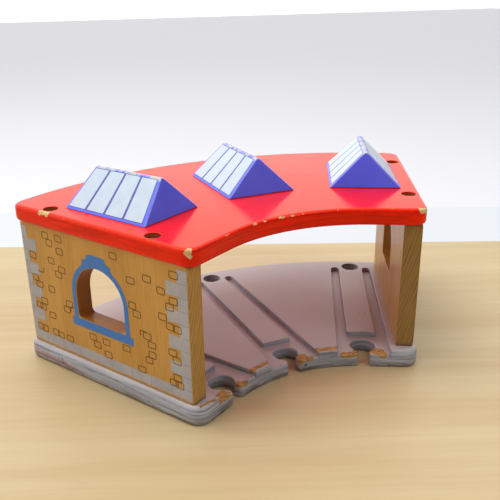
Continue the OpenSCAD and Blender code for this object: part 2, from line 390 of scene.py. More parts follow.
# ---- Procedural materials
class Look:
    """One material, or the world, and the nodes that it is made of."""

    def __init__(self, owner, shader):
        owner.use_nodes = True
        self.material, self.tree = owner, owner.node_tree
        self.shader = self.tree.nodes[shader]

    def add(self, kind, sockets=None, out=0, **settings):
        node = self.tree.nodes.new("ShaderNode" + kind)
        for key, value in settings.items():
            setattr(node, key, value)
        for key, value in (sockets or {}).items():
            if isinstance(value, bpy.types.NodeSocket):
                self.tree.links.new(value, node.inputs[key])
            else:
                node.inputs[key].default_value = value
        return node.outputs[out]

    def place(self, origin=(0, 0, 0), turn=0.0):
        """Coordinates in metres in a frame at origin, turned about Z."""
        here = self.add("TexCoord", out="Object")
        return self.add("Mapping", {"Vector": here, "Location": origin,
                                    "Rotation": (0, 0, turn)}, vector_type="TEXTURE")

    def noise(self, vector, scale, detail=3.0, rough=0.55, warp=0.0, out=0):
        return self.add("TexNoise", {"Vector": vector, "Scale": scale, "Detail": detail,
                                     "Roughness": rough, "Distortion": warp}, out=out)

    def grain(self, vector, scale, detail=3.0, rough=0.55, warp=0.0):
        """Noise with its own scale along each axis."""
        stretched = self.add("Mapping", {"Vector": vector, "Scale": scale})
        return self.noise(stretched, 1.0, detail, rough, warp)

    def math(self, operation, a, b=0.0, clamp=False):
        return self.add("Math", {0: a, 1: b}, operation=operation, use_clamp=clamp)

    def times(self, *values):
        product = values[0]
        for value in values[1:]:
            product = self.math("MULTIPLY", product, value)
        return product

    def plus(self, a, b):
        return self.math("ADD", a, b)

    def minus(self, a, b, clamp=False):
        return self.math("SUBTRACT", a, b, clamp)

    def axis(self, vector, name):
        return self.add("SeparateXYZ", {0: vector}, out=name)

    def edge(self):
        return self.add("Attribute", out="Fac", attribute_name="edge")

    def lean(self, vector, name):
        """Size of one component of a vector."""
        return self.math("ABSOLUTE", self.axis(vector, name))

    def normal(self):
        return self.add("NewGeometry", out="Normal")

    def ramp(self, value, low, high, to_low=0.0, to_high=1.0):
        return self.add("MapRange", {"Value": value, "From Min": low, "From Max": high,
                                     "To Min": to_low, "To Max": to_high},
                        interpolation_type="SMOOTHSTEP")

    def mix(self, share, a, b):
        """Between two colours, each (r, g, b) or a socket."""
        a, b = (c if isinstance(c, bpy.types.NodeSocket) else (*c, 1.0) for c in (a, b))
        return self.add("Mix", {0: share, 6: a, 7: b}, out=2, data_type="RGBA")

    def blend(self, value, low, high, a, b, most=1.0):
        """From colour a where value is low to colour b where it is high."""
        return self.mix(self.ramp(value, low, high, 0.0, most), a, b)

    def chips(self, vector, spots, ragged, scale=420.0):
        """1 inside the spots, each (centre, radius) in metres, with ragged borders."""
        wobble = self.noise(vector, scale, 4.0, 0.65, out="Color")
        shift = self.add("VectorMath", {0: wobble, 1: (0.5, 0.5, 0.5)}, operation="SUBTRACT")
        shift = self.add("VectorMath", {0: shift, "Scale": ragged}, operation="SCALE")
        moved = self.add("VectorMath", {0: vector, 1: shift}, operation="ADD")
        nearest = None
        for centre, radius in spots:
            gap = self.add("VectorMath", {0: moved, 1: centre}, out="Value",
                           operation="DISTANCE")
            gap = self.math("DIVIDE", gap, radius)
            nearest = gap if nearest is None else self.math("MINIMUM", nearest, gap)
        return self.ramp(nearest, 1.0, 0.86)

    def bump(self, height, distance, strength=1.0):
        found = self.add("Bump", {"Height": height, "Distance": distance,
                                  "Strength": strength})
        self.drive("Normal", found)
        self.drive("Coat Normal", found)

    def drive(self, socket, value):
        self.tree.links.new(value, self.shader.inputs[socket])

    def colour(self, value):
        self.drive("Base Color", value)

    def roughness(self, value):
        self.drive("Roughness", value)


def paint(name, roughness, coat=0.0, coat_roughness=0.1, metallic=0.0):
    """A Look for a new material."""
    look = Look(bpy.data.materials.new(name), "Principled BSDF")
    for socket, value in (("Roughness", roughness), ("Coat Weight", coat),
                          ("Coat Roughness", coat_roughness), ("Metallic", metallic)):
        look.shader.inputs[socket].default_value = value
    return look


def line_of_spots(start, end, radius, count):
    """Spots strung from one point to another, in metres."""
    return [(start.lerp(end, i / (count - 1)), radius) for i in range(count)]


def roof_look():
    look = paint("glossy_red_paint", 0.2, coat=0.05, coat_roughness=0.06)
    look.shader.inputs["Specular Tint"].default_value = (1.0, 0.76, 0.30, 1.0)
    here, edge = look.place(), look.edge()
    broad = look.noise(here, 22.0, 3.0, 0.5)
    streak = look.grain(here, (30, 260, 260), 3.0, 0.6)
    red = look.blend(broad, 0.3, 0.7, (0.87, 0.009, 0.001), (0.96, 0.015, 0.002))
    red = look.blend(streak, 0.45, 0.8, red, (0.66, 0.006, 0.002), 0.35)
    # The sides took the paint unevenly, in streaks along the edge.
    on_side = look.ramp(look.lean(look.normal(), "Z"), 0.8, 0.35)
    uneven = look.ramp(look.grain(here, (26, 26, 320), 4.0, 0.6), 0.42, 0.68)
    red = look.mix(look.times(uneven, on_side, 0.75), red, (0.60, 0.007, 0.002))
    thin = look.ramp(look.noise(here, 500.0, 4.0, 0.7), 0.56, 0.72)
    red = look.mix(look.times(thin, edge, 0.55), red, (0.85, 0.16, 0.07))
    # Paint knocked off the corners, the rims and the front edge: places, then radii.
    top, front, fore = roof_high - 0.9, roof_high - 1.3, roof_high - 0.7
    spots = [(world(*at), size * MM) for *at, size in (
        (-78.6, 70.4, front, 2.7), (-77.4, 71.6, top, 2.0), (-77.6, 70.2, front - 2.6, 1.4),
        (78.4, 70.6, front, 2.6), (75.2, 71.0, top, 2.4), (80.3, 72.0, front, 1.7))]
    spots += [(stall_world(*at), size * MM) for *at, size in (
        (-1, -33.9, 214, top, 2.0), (-1, -33.9, 217, top, 2.0), (-1, -33.9, 220, top, 2.0),
        (-1, -31.6, 217.5, roof_high, 1.5), (-1, -27.2, 133.5, roof_high, 0.55),
        (-1, -29.4, 128.0, roof_high, 0.45), (1, 34.2, 176.0, top, 1.3),
        (1, 34.2, 232.0, top, 1.0))]
    for angle, size in ((-31.2, 0.6), (-30.2, 0.4), (-17.2, 0.8), (-16.3, 0.9), (-12.6, 0.8),
                        (-11.9, 0.7), (-6.0, 0.9), (-5.2, 1.0), (-4.3, 0.7), (-0.9, 0.7),
                        (-0.2, 0.8), (3.4, 0.6), (17.0, 0.4), (26.0, 0.45)):
        turn, radius = math.radians(angle), ROOF_R + 0.9
        spots.append((world(radius * math.sin(turn), radius * math.cos(turn), fore), size * MM))
    bare = look.chips(here, spots, 2.6 * MM)
    specks = look.ramp(look.noise(here, 330.0, 4.0, 0.75), 0.69, 0.72)
    bare = look.math("MAXIMUM", bare, look.times(specks, look.ramp(edge, 0.45, 0.9)))
    wood = look.blend(look.grain(here, (120, 900, 900), 2.0), 0.35, 0.7,
                      (0.80, 0.60, 0.34), (0.62, 0.40, 0.19))
    # Painted shade: the insides of the counterbores are darkened to a deep red-brown.
    bore_shade_spots = [(world(*point, roof_high - 3.4), 6.0 * MM) for point in screw_points]
    look.colour(look.mix(look.chips(here, bore_shade_spots, 0.3 * MM), look.mix(bare, red, wood),
                         (0.40, 0.085, 0.026)))
    fibre = look.grain(here, (60, 700, 700), 2.0)
    height = look.plus(look.times(look.noise(here, 60.0, 2.0, 0.4), 0.7),
                       look.times(fibre, 0.08))
    look.bump(look.minus(height, bare), 0.25 * MM, 0.6)
    look.roughness(look.plus(look.times(bare, 0.45), look.ramp(broad, 0.3, 0.8, 0.13, 0.24)))
    return look.material


def floor_look():
    look = paint("worn_pale_paint", 0.42, coat=0.15, coat_roughness=0.25)
    here, edge = look.place(), look.edge()
    broad = look.noise(here, 18.0, 3.0, 0.5)
    pale = look.blend(broad, 0.3, 0.7, (0.485, 0.435, 0.445), (0.545, 0.505, 0.515))
    # Fine dark lines where the paint has shrunk into the grain, clearest on the sides.
    lines = look.grain(here, (24, 24, 700), 3.0, 0.6, 0.5)
    on_side = look.ramp(look.lean(look.normal(), "Z"), 0.75, 0.3)
    sunk = look.times(look.ramp(lines, 0.54, 0.62), on_side)
    # The upright sides are darker and bluer than the top: partly a blue-grey tone of the paint,
    # partly painted shade.
    side_tone_and_shade = look.blend(look.grain(here, (24, 24, 430), 4.0, 0.6), 0.34, 0.66,
                            (0.33, 0.35, 0.42), (0.53, 0.56, 0.64))
    pale = look.mix(look.times(on_side, 0.9), pale, side_tone_and_shade)
    pale = look.mix(look.times(sunk, 0.75), pale, (0.20, 0.20, 0.26))
    pale = look.blend(look.grain(here, (14, 500, 500), 2.0), 0.6, 0.9, pale,
                      (0.45, 0.41, 0.43), 0.25)
    # Painted shade at the foot of the sides, where the board meets the table; a red stain and
    # scuffs on the left side, and nicks.
    foot = look.ramp(look.axis(here, "Z"), 6.0 * MM, 1.0 * MM)
    foot_shade_patches = look.ramp(look.grain(here, (60, 60, 240), 4.0, 0.65), 0.30, 0.62)
    pale = look.mix(look.times(foot, foot_shade_patches, on_side, 0.9), pale, (0.15, 0.12, 0.095))

    def on_left_side(out, z):
        return stall_world(-1, -BASE_SIDE_W, out, z)

    stain_spots = line_of_spots(on_left_side(243, 6.0), on_left_side(203, 3.2), 2.3 * MM, 11)
    stain_spots += line_of_spots(on_left_side(196, 2.0), on_left_side(160, 1.6), 1.1 * MM, 7)
    stain = look.times(look.chips(here, stain_spots, 5.0 * MM, 190.0),
                       look.ramp(lines, 0.40, 0.62, 0.10, 0.62))
    pale = look.mix(stain, pale, (0.44, 0.13, 0.17))
    scuffs = look.ramp(look.grain(here, (150, 150, 330), 4.0, 0.7), 0.70, 0.74)
    pale = look.mix(look.times(scuffs, on_side, 0.6), pale, (0.16, 0.13, 0.22))
    nick_spots = [(on_left_side(213.5, 5.0), 0.9 * MM), (on_left_side(214.5, 7.0), 0.7 * MM),
                  (on_left_side(135.0, 4.4), 0.55 * MM),
                  (world(8.6, 94.1, 5.0), 0.9 * MM), (world(7.8, 94.2, 4.3), 0.6 * MM),
                  (stall_world(1, 5.0, 148.0, base_high), 0.6 * MM),
                  (stall_world(1, 1.5, 150.0, base_high), 0.4 * MM)]
    nicks = look.chips(here, nick_spots, 1.6 * MM)
    pale = look.mix(nicks, pale, (0.10, 0.07, 0.12))
    # Paint worn off along the front edge: from a point to a point, height, radius, count.
    land, low = base_high - 0.5, base_high - GROOVE_D - 0.4
    spots = []
    for x0, y0, x1, y1, z, radius, count in (
            (-33.2, 92.4, -17.6, 97.6, land, 1.5, 10), (17.0, 96.6, 33.6, 92.6, land, 1.9, 11),
            (5.5, 96.0, 8.4, 99.0, low, 2.5, 3), (8.0, 96.4, 12.4, 95.0, low, 1.7, 4),
            (34.0, 89.0, 43.4, 86.2, low, 1.9, 7), (42.0, 88.0, 44.6, 90.6, low, 1.3, 3),
            (53.6, 83.4, 58.4, 77.4, low, 2.2, 6), (55.6, 86.8, 60.0, 81.4, low, 1.5, 5),
            (-46.0, 84.6, -39.0, 87.0, low, 1.7, 5), (-45.6, 87.4, -43.0, 88.6, low, 1.5, 3),
            (-62.0, 76.0, -54.6, 80.0, low, 2.1, 6), (-59.6, 80.4, -55.4, 83.4, low, 1.8, 4),
            (-74.8, 70.4, -64.6, 73.8, land, 0.8, 11)):
        spots += line_of_spots(world(x0, y0, z), world(x1, y1, z), 1.3 * radius * MM, count)
    specks = look.ramp(look.noise(here, 300.0, 4.0, 0.75), 0.66, 0.69)
    bare = look.math("MAXIMUM", look.chips(here, spots, 2.4 * MM),
                     look.times(specks, look.ramp(edge, 0.55, 0.9)))
    wood = look.blend(look.grain(here, (220, 700, 1100), 3.0), 0.35, 0.68,
                      (0.58, 0.36, 0.135), (0.33, 0.165, 0.045))
    look.colour(look.mix(bare, pale, wood))
    height = look.plus(look.times(sunk, -0.5), look.times(look.noise(here, 160.0), 0.25))
    height = look.minus(look.minus(height, look.times(bare, 0.8)), nicks)
    look.bump(height, 0.3 * MM, 0.7)
    look.roughness(look.plus(look.times(bare, 0.3), look.ramp(broad, 0.3, 0.8, 0.36, 0.48)))
    return look.material


def wall_look(side):
    look = paint(f"{SIDES[side]}_varnished_wood", 0.36, coat=0.1, coat_roughness=0.15)
    corner = stall_world(side, side * WALL_IN, WALL_FRONT, base_high)
    here = look.place(tuple(corner), -side * STALL)
    # On the broad faces the grain runs up the wall: fine fibres, pores and soft bands.
    band = look.grain(here, (30, 55, 9), 3.0, 0.5)
    fibre = look.grain(here, (300, 900, 45), 4.0, 0.65)
    pores = look.grain(here, (900, 1700, 120), 2.0, 0.5)
    honey = look.blend(band, 0.3, 0.7, (0.56, 0.300, 0.068), (0.64, 0.365, 0.100))
    honey = look.blend(fibre, 0.45, 0.75, honey, (0.42, 0.20, 0.04), 0.40)
    honey = look.blend(pores, 0.60, 0.72, honey, (0.34, 0.15, 0.035), 0.30)
    # The narrow front and rear faces show the year rings as long slanting lines, darker on
    # the right wall.
    slant = look.add("Mapping", {"Vector": here, "Rotation": (0, math.radians(-16), 0)})
    phase = look.plus(look.times(look.axis(slant, "X"), 2900.0),
                      look.times(look.grain(slant, (60, 10, 13), 2.0), 17.0))
    rings = look.times(look.math("SINE", phase), 0.10)
    streak = look.grain(slant, (1400, 200, 55), 3.0, 0.6)
    deep = 0.66 if side > 0 else 1.0
    end = look.blend(look.plus(rings, streak), 0.38, 0.80,
                     *(tuple(deep * part for part in tint)
                       for tint in ((0.56, 0.34, 0.105), (0.36, 0.19, 0.05))))
    end = look.mix(look.times(look.edge(), 0.25), end, (0.2, 0.1, 0.03))
    local = look.add("VectorRotate", {"Vector": look.normal(), "Angle": side * STALL},
                     rotation_type="Z_AXIS")
    middle = WALL_LEN * MM / 2
    from_middle = look.math("ABSOLUTE", look.minus(look.axis(here, "Y"), middle))
    near_end = look.ramp(from_middle, middle - 1.6 * MM, middle - 0.9 * MM)
    facing = look.ramp(look.lean(local, "Y"), 0.55, 0.8)
    # Painted shade: the inside of the window is darker.
    flank = look.lean(local, "X")
    reveal_shade = look.minus(look.ramp(flank, 0.7, 0.4), near_end, clamp=True)
    honey = look.mix(look.times(reveal_shade, 0.8), honey, (0.34, 0.15, 0.03))
    look.colour(look.mix(look.times(facing, near_end), honey, end))
    look.bump(look.plus(look.times(fibre, 0.5), look.times(pores, -0.3)), 0.08 * MM, 0.6)
    look.roughness(look.ramp(fibre, 0.3, 0.8, 0.30, 0.44))
    return look.material


def light_look(side):
    look = paint(f"{SIDES[side]}_blue_paint", 0.33, coat=0.2, coat_roughness=0.2)
    here, edge = look.place(), look.edge()
    blue = look.blend(look.noise(here, 45.0, 3.0, 0.5), 0.3, 0.7, (0.125, 0.17, 0.98),
                      (0.15, 0.20, 1.0))
    # Lighter blue along the edges: partly thinner paint there, partly a painted sheen where the
    # rounded edges catch the light.
    thin = look.ramp(look.noise(here, 240.0, 4.0, 0.7), 0.32, 0.6)
    blue = look.mix(look.times(thin, look.ramp(edge, 0.1, 0.75), 0.6), blue,
                    (0.33, 0.39, 0.85))
    # The paint is rubbed off the ridge and scraped off the other edges.
    ridge_z = roof_high + LIGHT_H
    ridge = look.ramp(look.axis(here, "Z"), (ridge_z - 2.2) * MM, (ridge_z - 0.6) * MM)
    rubbed = look.ramp(look.noise(here, 130.0, 5.0, 0.7, 0.3), 0.44, 0.56)
    worn = look.times(rubbed, ridge, look.ramp(look.axis(look.normal(), "Z"), 0.2, 0.75))
    scraped = look.times(look.ramp(look.noise(here, 210.0, 5.0, 0.75), 0.64, 0.68),
                         look.ramp(edge, 0.5, 0.95))
    bare = look.math("MAXIMUM", worn, scraped)
    look.colour(look.mix(look.times(bare, 0.9), blue, (0.60, 0.60, 0.50)))
    look.bump(look.minus(look.times(look.noise(here, 120.0), 0.5), bare), 0.2 * MM, 0.6)
    return look.material


def ink_look(name, colour, other, roughness, patch=0.0):
    """Printed ink: thin, even, a little mottled, and missing in specks."""
    look = paint(name, roughness, coat=0.15, coat_roughness=0.2)
    here = look.place()
    ink = look.blend(look.noise(here, 90.0, 3.0, 0.6), 0.3, 0.7, colour, other)
    fine = look.noise(here, 1500.0, 2.0, 0.6)
    ink = look.blend(fine, 0.4, 0.8, ink, tuple(c * 0.6 for c in colour), 0.12)
    if patch:
        gone = look.ramp(look.noise(here, 420.0, 4.0, 0.7), 0.70, 0.74)
        ink = look.mix(look.times(gone, patch), ink, (0.50, 0.30, 0.11))
    look.colour(ink)
    look.bump(fine, 0.03 * MM, 0.5)
    return look.material


def screw_look():
    look = paint("passivated_steel", 0.36, metallic=1.0)
    here = look.place()
    tint = look.noise(here, 260.0, 3.0, 0.6)
    look.colour(look.blend(tint, 0.3, 0.7, (0.55, 0.43, 0.22), (0.50, 0.46, 0.36)))
    look.bump(look.grain(here, (4000, 4000, 600), 2.0), 0.03 * MM, 0.5)
    look.roughness(look.ramp(tint, 0.3, 0.8, 0.28, 0.48))
    return look.material


def dowel_look():
    look = paint("bare_beech", 0.7)
    here = look.place()
    grain = look.grain(here, (900, 900, 60), 3.0, 0.6)
    wood = look.blend(grain, 0.35, 0.7, (0.62, 0.40, 0.20), (0.47, 0.27, 0.12))
    look.colour(look.blend(look.grain(here, (1500, 1500, 260), 2.0), 0.6, 0.72, wood,
                           (0.30, 0.15, 0.06), 0.5))
    look.bump(grain, 0.1 * MM, 0.5)
    return look.material


def dress(piece, material, nodes=()):
    piece.data.materials.clear()
    piece.data.materials.append(material)
    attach(piece, "root")
    if nodes:
        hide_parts(*nodes)
    return piece


# ---- The two boards
def groove():
    """The right-hand wheel groove of the middle stall."""
    start, inner, half = BASE_R - 3, TONGUE_W / 2, GROOVE_REAR_W / 2
    loop = [(inner, start), (inner + GROOVE_FRONT_W, start)]
    return loop + arc((inner + half, GROOVE_END - half), half, 0, math.pi, 1.0)


def neck():
    """The opening in front of a socket, with its mouth rounded."""
    half, mouth = NECK_W / 2, BASE_R - 0.3
    flare = arc((half + NECK_ROUND, mouth + NECK_ROUND), NECK_ROUND, math.pi, 1.5 * math.pi,
                0.7)
    right = [(half, SOCKET_AT)] + flare + [(half + NECK_ROUND, mouth - 5)]
    return split(mirrored(right) + right)


def gap_to(x, y, points):
    """Distance to the nearest of the points."""
    return min(math.hypot(x - px, y - py) for px, py in points)


def base_rim(x, y):
    """Radius of the floor's edges: small along the front opening, larger round the sides."""
    angle = abs(math.degrees(math.atan2(x, y)))
    front = min(1.0, max(0.0, (130 - math.hypot(x, y)) / 12))
    middle = min(1.0, max(0.0, (43.5 - angle) / 6))
    if gap_to(x, y, rear_holes) < REAR_HOLE_R + 2.6 or gap_to(x, y, screw_points) < 7:
        return HOLE_RIM
    return SIDE_RIM + (FRONT_RIM - SIDE_RIM) * front * middle


def roof_rim(x, y):
    return FLAT_RIM if gap_to(x, y, screw_points + dowel_points) < 7 else ROOF_RIM


screw_points = [stall_point(side, side * (WALL_IN + WALL_T / 2), WALL_FRONT + along)
                for side in (-1, 1) for along in SCREW_ALONG]
dowel_points = [stall_point(side, LIGHT_OFFSET[side], LIGHT_FRONT + along)
                for side in SIDES for along in DOWEL_ALONG]
rear_holes = [stall_point(side, 0, REAR_HOLE_AT) for side in SIDES]
shafts = [circle(centre, SHAFT_R) for centre in screw_points]

voids = [circle(centre, REAR_HOLE_R) for centre in rear_holes] + shafts
cuts = []
reach = TONGUE_W / 2 + 1
for side in SIDES:
    voids += [move(circle((0, SOCKET_AT), SOCKET_R), side), move(neck(), side)]
    for shape in (groove(), mirrored(groove()), box(-reach, BASE_R - 3, reach, TONGUE_END)):
        cuts.append((move(split(shape), side), GROOVE_D))
counterbores = [(circle(centre, BORE_R), BORE_D) for centre in screw_points]
base = Plate(board_outline(BASE_R, BASE_SIDE_W, BASE_CORNER), voids, cuts, counterbores,
             base_rim, 0.55, rise=1.9, foot=0.5)
base = weighted(base.build("base_board_painted", base_low, base_high, world))
dress(base, floor_look(), ["base_board"])

dowel_holes = [(circle(centre, DOWEL_R + 0.05), DOWEL_IN_ROOF + 0.5) for centre in dowel_points]
roof = Plate(board_outline(ROOF_R, ROOF_SIDE_W, ROOF_CORNER), shafts,
             counterbores + dowel_holes, [], roof_rim, 0.45)
roof = weighted(roof.build("roof_board_painted", roof_low, roof_high, world))
dress(roof, roof_look(), ["roof_board"])


# ---- The side walls, drawn as (distance from the front end, height above the floor board)
def window_loop():
    half, low = WINDOW_W / 2, SILL_H + WINDOW_CORNER
    loop = []
    for turn, inwards in ((1.0, 1), (1.5, -1)):
        centre = (WINDOW_AT + inwards * (WINDOW_CORNER - half), low)
        loop += arc(centre, WINDOW_CORNER, turn * math.pi, (turn + 0.5) * math.pi, 0.9)
    return loop + arc((WINDOW_AT, SPRING_H), half, 0, math.pi, 2.0)


wall_outline = split(box(0, 0, WALL_LEN, WALL_H))
for side in (-1, 1):
    name = SIDES[side]
    plate = Plate(wall_outline, [split(window_loop())], rim=lambda x, y: WALL_RIM)

    def upright(along, height, through, side=side):
        return stall_world(side, side * (WALL_IN + through), WALL_FRONT + along,
                           base_high + height)

    wall = plate.build(f"{name}_wall_wood", 0, WALL_T, upright)
    holes = []
    for along in SCREW_ALONG:
        for end, sign, board_t in ((base_high, 1, base_high - base_low),
                                   (roof_low, -1, roof_high - roof_low)):
            depth = SCREW_LEN - HEAD_H - (board_t - BORE_D) + 1
            foot, head = (upright(along, z - base_high, WALL_T / 2)
                          for z in (end - sign, end + sign * depth))
            holes.append((foot, head, (SCREW_R + 0.1) * MM))
    weighted(drill(wall, holes))
    dress(wall, wall_look(side), [f"{name}_wall"])


# ---- Prints: thin closed slabs of ink that lie on a face
INK_LOW, INK_HIGH = -0.02, 0.06


class Print:
    """Gathers slabs that lie on one face; place(u, v, height) gives a point in metres."""

    def __init__(self, place):
        self.place, self.work = place, bmesh.new()

    def line(self, loop, height):
        return [self.work.verts.new(self.place(u, v, height)) for u, v in loop]

    def slab(self, loop, low=INK_LOW, high=INK_HIGH):
        under, over = self.line(loop, low), self.line(loop, high)
        self.work.faces.new(under)
        self.work.faces.new(over[::-1])
        for i in range(len(loop)):
            self.work.faces.new((under[i - 1], over[i - 1], over[i], under[i]))

    def ring(self, outer, inner, high, closed=True):
        lines = [self.line(outer, INK_LOW), self.line(outer, high), self.line(inner, high),
                 self.line(inner, INK_LOW)]
        for i in range(0 if closed else 1, len(outer)):
            for a, b in zip(lines, lines[1:] + lines[:1]):
                self.work.faces.new((a[i - 1], b[i - 1], b[i], a[i]))
        if not closed:
            self.work.faces.new([line[0] for line in lines])
            self.work.faces.new([line[-1] for line in reversed(lines)])

    def finish(self, name, material):
        return dress(finish_mesh(name, to_mesh(self.work, name), 30), material)


def rounded(u, v, half_u, half_v, radius, steps=3):
    """A rectangle with round corners about (u, v)."""
    loop = []
    for corner, (su, sv) in enumerate(((1, 1), (-1, 1), (-1, -1), (1, -1))):
        centre = (u + su * (half_u - radius), v + sv * (half_v - radius))
        turns = [(corner + i / steps) * math.pi / 2 for i in range(steps + 1)]
        loop += [(centre[0] + radius * math.cos(turn), centre[1] + radius * math.sin(turn))
                 for turn in turns]
    return loop


# The print repeats on both walls: u runs from the wall's rear end, v is the height above
# the ground. The small bricks lie where a hand has strewn them over the wall.
BRICKS = [(24.5, 94), (37, 94), (28, 89.3), (37, 85.5), (9.3, 77.3), (27.5, 77.3), (37, 73),
          (33.5, 69), (9.3, 61.5), (12.5, 57), (24.5, 56.5), (41, 50.2), (38, 45.6),
          (15.5, 45.6), (9.4, 41.4), (13.2, 40.8), (22, 36.8), (8, 24.6), (12.4, 24.4),
          (23.6, 24.5), (28.4, 24.2), (37.6, 24), (60.5, 32.4), (64, 27.9), (73, 32.4),
          (73.5, 23.6), (90.5, 33.6), (98.5, 81), (112, 85.5), (122.5, 80.8), (132.4, 92.6),
          (131.5, 76.6), (128.6, 72.2), (98.5, 64.9), (102, 60.4), (122.5, 64.5),
          (128.4, 59.8), (133.4, 59.4), (109, 47.9), (112.4, 43), (129, 43.2), (132, 38.8),
          (112.5, 36), (109.5, 31.6), (131.6, 27.2), (128.4, 23), (133, 22.6), (103, 23.2),
          (85.5, 93.5)]
PART_BRICKS = [(16, 69), (44.4, 46.4), (106.4, 48.4)]
BRICK_W, BRICK_H, BRICK_LINE, BRICK_ROUND = 5.9, 4.2, 0.54, 0.95
STONES_REAR, STONES_FRONT = 0.8, 142.2
QUOINS = ((6.0, 135.0), (14.0, 126.5))       # ends of the short and of the long corner stones
QUOIN_TOP, QUOIN_LOW, QUOIN_H, ROW_LOW = 97.0, 21.5, 8.39, 14.5
ROW_JOINTS = (14, 30, 46, 64, 76, 94, 110, 126.5)
JOINT, UPRIGHT_JOINT = 0.12, 0.14            # half widths
FRAME_GAP, FRAME_BAND, SILL_REACH, SILL_DROP = 0.6, 3.9, 2.4, 6.0
# Right half of the keystone: distance from the middle, height above the window
KEYSTONE = [(4.5, 8.8), (7.8, 7.8), (8.8, 5.0), (12.0, 4.2), (12.4, 2.0), (13.6, -0.6)]

stone_ink = ink_look("grey_stone_ink", (0.42, 0.415, 0.455), (0.49, 0.48, 0.52), 0.45, 0.6)
brick_ink = ink_look("brown_outline_ink", (0.17, 0.085, 0.014), (0.24, 0.125, 0.024), 0.45,
                     0.8)
joint_ink = ink_look("faint_joint_ink", (0.30, 0.25, 0.22), (0.36, 0.31, 0.28), 0.45, 0.6)
frame_ink = ink_look("blue_frame_ink", (0.05, 0.215, 0.60), (0.065, 0.245, 0.64), 0.4, 0.2)


def print_stones(name, on_face):
    stones, joints = Print(on_face), Print(on_face)

    def joint(*corners):
        joints.slab(box(*corners), INK_HIGH, INK_HIGH + 0.02)

    for row in range(9):
        high = QUOIN_TOP - row * QUOIN_H
        rear_end, front_end = QUOINS[row % 2]
        stones.slab(box(STONES_REAR, high - QUOIN_H, rear_end, high))
        stones.slab(box(front_end, high - QUOIN_H, STONES_FRONT, high))
        joint(STONES_REAR, high - JOINT, QUOINS[0][0], high + JOINT)
        joint(QUOINS[0][1], high - JOINT, STONES_FRONT, high + JOINT)
    stones.slab(box(STONES_REAR, ROW_LOW, STONES_FRONT, QUOIN_LOW))
    for u in ROW_JOINTS:
        joint(u - UPRIGHT_JOINT, ROW_LOW, u + UPRIGHT_JOINT, QUOIN_LOW)
    joint(STONES_REAR, QUOIN_LOW - JOINT, QUOINS[1][0], QUOIN_LOW + JOINT)
    joint(QUOINS[1][1], QUOIN_LOW - JOINT, STONES_FRONT, QUOIN_LOW + JOINT)
    stones.finish(f"{name}_wall_stones", stone_ink)
    joints.finish(f"{name}_wall_joints", joint_ink)


def print_bricks(name, on_face, draw):
    bricks, half = Print(on_face), BRICK_LINE / 2
    for u, v in BRICKS:
        u, v = u + draw.uniform(-0.25, 0.25), v + draw.uniform(-0.15, 0.15)
        lean = draw.uniform(-0.12, 0.12)
        half_u = BRICK_W / 2 + draw.uniform(-0.15, 0.15)
        half_v = BRICK_H / 2 + draw.uniform(-0.1, 0.1)
        outer = rounded(u, v, half_u + half, half_v + half, BRICK_ROUND)
        inner = rounded(u, v, half_u - half, half_v - half, BRICK_ROUND - BRICK_LINE)
        outer, inner = ([(a + lean * (b - v) / 2, b + lean * (a - u) / 4) for a, b in loop]
                        for loop in (outer, inner))
        bricks.ring(outer, inner, INK_HIGH + 0.03)
    for u, v in PART_BRICKS:
        loops = rounded(u, v, 3.15, 2.35, 1.15), rounded(u, v, 2.5, 1.7, 0.5)
        first = draw.choice((2, 9))
        outer, inner = ([loop[(first + i) % 16] for i in range(8)] for loop in loops)
        bricks.ring(outer, inner, INK_HIGH + 0.03, closed=False)
    bricks.finish(f"{name}_wall_brick_outlines", brick_ink)


def print_window(name, on_face):
    """Blue window surround: a band, a sill below and a stepped keystone on top."""
    middle, half = WALL_LEN - WINDOW_AT, WINDOW_W / 2
    centre, sill_v = (middle, base_high + SPRING_H), base_high + SILL_H
    surround = Print(on_face)

    def arch(grow, step):
        foot = sill_v - 0.4
        return ([(middle - half - grow, foot)] + arc(centre, half + grow, math.pi, 0, step)
                + [(middle + half + grow, foot)])

    def symmetrical(right, low):
        return [(middle + u, low + v) for u, v in mirrored(right) + right]

    inner, outer = arch(FRAME_GAP, 1.5), arch(FRAME_BAND, 1.5 * (half + FRAME_BAND) / half)
    surround.ring(outer, inner[:len(outer) - 1] + inner[-1:], INK_HIGH + 0.04, closed=False)
    edge = half + FRAME_BAND
    sill = [(half + 0.05, -0.2), (edge, -0.2), (edge + SILL_REACH, -0.8),
            (edge + SILL_REACH, -SILL_DROP)]
    surround.slab(symmetrical(sill, sill_v), INK_LOW, INK_HIGH + 0.045)
    under = arc(centre, half + 1.2, math.radians(56), math.radians(124), 2.0)
    surround.slab(symmetrical(KEYSTONE, centre[1] + half) + under, INK_LOW, INK_HIGH + 0.042)
    surround.finish(f"{name}_window_surround", frame_ink)


for side in (-1, 1):
    def on_face(u, v, height, side=side):
        return stall_world(side, side * (WALL_IN + WALL_T + height),
                           WALL_FRONT + WALL_LEN - u, v)

    print_stones(SIDES[side], on_face)
    print_bricks(SIDES[side], on_face, random.Random(11 + side))
    print_window(SIDES[side], on_face)


# ---- The roof lights: triangular bars with leaning ends, worn edges and printed panes
SLOPE_RUN = LIGHT_W / 2 - RIDGE_FLAT / 2
SLOPE_LEN = math.hypot(SLOPE_RUN, LIGHT_H)
PANES_LOW, PANES_HIGH = 2.1, SLOPE_LEN - 1.3
PANES_FRONT, PANES_REAR = 2.9 / LIGHT_LEN, 1.0 - 1.4 / LIGHT_LEN
PANE_LINE, PANE_BAR = 0.34, 1.15

pane_ink = ink_look("pale_pane_ink", (0.56, 0.67, 0.80), (0.61, 0.72, 0.84), 0.3)
line_ink = ink_look("dark_pane_line_ink", (0.035, 0.055, 0.32), (0.05, 0.075, 0.37), 0.35)
bar_ink = ink_look("pane_bar_ink", (0.13, 0.16, 0.52), (0.16, 0.20, 0.58), 0.35)


